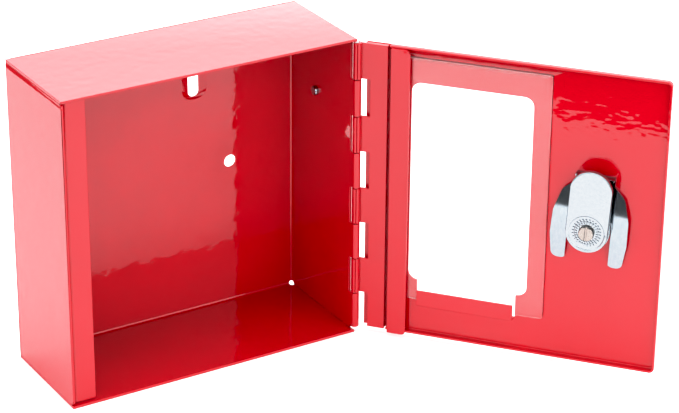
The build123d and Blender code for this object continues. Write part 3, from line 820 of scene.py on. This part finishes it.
class KEYCAB_OT_lock(bpy.types.Operator):
    """Makes the cam lock: housing, plug, clip, cam, washers and screw"""
    bl_idname = "keycab.lock"
    bl_label = "Cam lock"

    def execute(self, context):
        edge = settings().lock.edge
        parts = (
            ("lock_housing", "door", "diecast", die_cast_zinc(), edge * 0.6),
            ("lock_cam", "lock_core", "zinc_plate", bright_zinc(), edge),
            ("cam_screw", "lock_core", "zinc_plate", nickel_screw(), edge * 0.6),
            ("lock_plug", "lock_core", "diecast", die_cast_zinc(), edge * 0.3),
        )
        for node, body, slot, material, radius in parts:
            piece = eased(node, "finished_" + node, material, radius)
            stand_in(piece, body, slot, node)
        stand_in(bowed_clip(settings().lock), "door", "spring_steel", "horseshoe_clip")
        dressed("stop_washer", bright_zinc())
        return {"FINISHED"}


class KEYCAB_OT_stage(bpy.types.Operator):
    """Lays the floor, lights the scene and sets the camera"""
    bl_idname = "keycab.stage"
    bl_label = "Floor, light, camera"

    def execute(self, context):
        own = settings().stage
        lay_floor(own)
        light_tent(own)
        set_camera()
        develop(context.scene.view_settings)
        return {"FINISHED"}


def lay_floor(own):
    """A white paper floor under the case, cut off on the left in front and behind."""
    level = CAD_BOX[0].z
    middle = (CAD_BOX[0] + CAD_BOX[1]) / 2
    reach = own.floor_reach
    shape = bmesh.new()
    corners = [(-reach, -reach), (reach, -reach), (reach, reach), (-reach, reach)]
    shape.faces.new([shape.verts.new((middle.x + x, middle.y + y, level)) for x, y in corners])
    front_left = Vector((-0.77, -0.64, 0.0))
    back_left = Vector((-0.518, 0.855, 0.0))
    for outward, far in ((front_left, own.front_edge), (back_left, own.side_edge)):
        away = outward.normalized()
        everything = [*shape.verts, *shape.edges, *shape.faces]
        bmesh.ops.bisect_plane(shape, geom=everything, plane_co=away * far, plane_no=away,
                               clear_outer=True)
    mesh = bpy.data.meshes.new("paper_floor")
    shape.to_mesh(mesh)
    shape.free()
    floor = link("paper_floor", mesh)
    material, tree, place = started("matt_white_paper")
    fibre = add(tree, "ShaderNodeTexNoise", {"Vector": place, "Scale": 1 / (1.5 * MM), "Detail": 3.0})
    tone = add(tree, "ShaderNodeMix", {0: fibre.outputs["Fac"], 6: linear("#F6F6F6"), 7: linear("#FBFBFB")},
               data_type="RGBA")
    matt = add(tree, "ShaderNodeBsdfDiffuse", {"Color": tone.outputs[2]})
    add(tree, "ShaderNodeOutputMaterial", {"Surface": matt.outputs[0]})
    mesh.materials.append(material)


def light_tent(own):
    """White surround to about 40 degrees up, darker above it, with a soft light overhead."""
    world = bpy.data.worlds.new("white_tent")
    world.use_nodes = True
    tree = world.node_tree
    tree.nodes.clear()
    way = add(tree, "ShaderNodeTexCoord").outputs["Generated"]
    height = add(tree, "ShaderNodeSeparateXYZ", {0: way}).outputs["Z"]
    roof_glow, floor_glow = 0.35, 0.12
    roof = add(tree, "ShaderNodeMapRange", {"Value": height, "From Min": 0.60, "From Max": 0.75,
                                            "To Min": own.surround, "To Max": roof_glow},
               interpolation_type="SMOOTHSTEP")
    tent = add(tree, "ShaderNodeMapRange", {"Value": height, "From Min": -0.03, "From Max": 0.01,
                                            "To Min": floor_glow, "To Max": roof.outputs["Result"]})
    path = add(tree, "ShaderNodeLightPath")
    seen = add(tree, "ShaderNodeMix", {0: path.outputs["Is Camera Ray"], 2: tent.outputs["Result"], 3: 1.0})
    sky = add(tree, "ShaderNodeBackground", {"Color": linear("#FFFFFF"), "Strength": seen.outputs[0]})
    add(tree, "ShaderNodeOutputWorld", {"Surface": sky.outputs[0]})
    bpy.context.scene.world = world
    lamp = bpy.data.lights.new("overhead_softbox", "AREA")
    lamp.energy = own.overhead
    lamp.size = 1.0
    box = bpy.data.objects.new("overhead_softbox", lamp)
    box.location = (0.12, -0.08, 1.3)
    box.rotation_euler = (box.location * -1).to_track_quat("-Z", "Y").to_euler()
    box.visible_glossy = False
    box.visible_camera = False
    bpy.context.scene.collection.objects.link(box)


def develop(view):
    """Plain sRGB with a curve that deepens the shadows and lifts the lights a little."""
    view.view_transform = "Standard"
    view.use_curve_mapping = True
    curves = view.curve_mapping
    curves.black_level = (0.010, 0.010, 0.010)
    all_channels = curves.curves[3]
    for shade, shown in ((0.2, 0.18), (0.5, 0.53), (0.75, 0.86)):
        all_channels.points.new(shade, shown)
    curves.update()


def set_camera():
    """Camera above and to the left of the cabinet's front."""
    aim = Vector((0.0652, -0.0588, -0.0068))
    azimuth = math.radians(-31.24)
    elevation = math.radians(25.13)
    roll = math.radians(0.46)
    distance = 1.178
    back = Vector((math.sin(azimuth) * math.cos(elevation), -math.cos(azimuth) * math.cos(elevation),
                   math.sin(elevation)))
    right = (-back).cross(Vector((0, 0, 1))).normalized()
    up = right.cross(-back)
    turned_right = right * math.cos(roll) + up * math.sin(roll)
    turned_up = up * math.cos(roll) - right * math.sin(roll)
    lens = bpy.data.cameras.new("camera")
    lens.lens = 134.34
    lens.sensor_width = 36.0
    lens.clip_start = 0.05
    lens.clip_end = 20.0
    camera = bpy.data.objects.new("camera", lens)
    axes = Matrix((turned_right, turned_up, back)).transposed().to_4x4()
    camera.matrix_world = Matrix.Translation(aim + back * distance) @ axes
    bpy.context.scene.collection.objects.link(camera)
    bpy.context.scene.camera = camera


class KEYCAB_PT_cabinet(bpy.types.Panel):
    """Shows the cabinet's settings and its steps"""
    bl_label = "Key cabinet"
    bl_idname = "KEYCAB_PT_cabinet"
    bl_space_type = "VIEW_3D"
    bl_region_type = "UI"
    bl_category = "Key cabinet"

    def draw(self, context):
        own = context.scene.key_cabinet
        for group in (own.enamel, own.weld, own.lock, own.stage):
            box = self.layout.box()
            for name in group.bl_rna.properties.keys():
                if name not in ("rna_type", "name"):
                    box.prop(group, name)
        for step in STEPS:
            self.layout.operator(step.bl_idname)


STEPS = (KEYCAB_OT_case, KEYCAB_OT_welds, KEYCAB_OT_door, KEYCAB_OT_pane, KEYCAB_OT_fixings, KEYCAB_OT_lock,
         KEYCAB_OT_washer, KEYCAB_OT_stage)
CLASSES = (EnamelSettings, LockSettings, WeldSettings, StageSettings, CabinetSettings, *STEPS,
           KEYCAB_PT_cabinet)


def register():
    """Registers the classes and the scene's settings."""
    for cls in CLASSES:
        bpy.utils.register_class(cls)
    bpy.types.Scene.key_cabinet = PointerProperty(type=CabinetSettings)


def unregister():
    """Takes the settings and the classes away."""
    del bpy.types.Scene.key_cabinet
    for cls in reversed(CLASSES):
        bpy.utils.unregister_class(cls)


def main():
    """Runs every step in order."""
    register()
    bpy.ops.keycab.case()
    bpy.ops.keycab.welds()
    bpy.ops.keycab.door()
    bpy.ops.keycab.pane()
    bpy.ops.keycab.fixings()
    bpy.ops.keycab.lock()
    bpy.ops.keycab.washer()
    bpy.ops.keycab.stage()


if __name__ == "__main__":
    main()
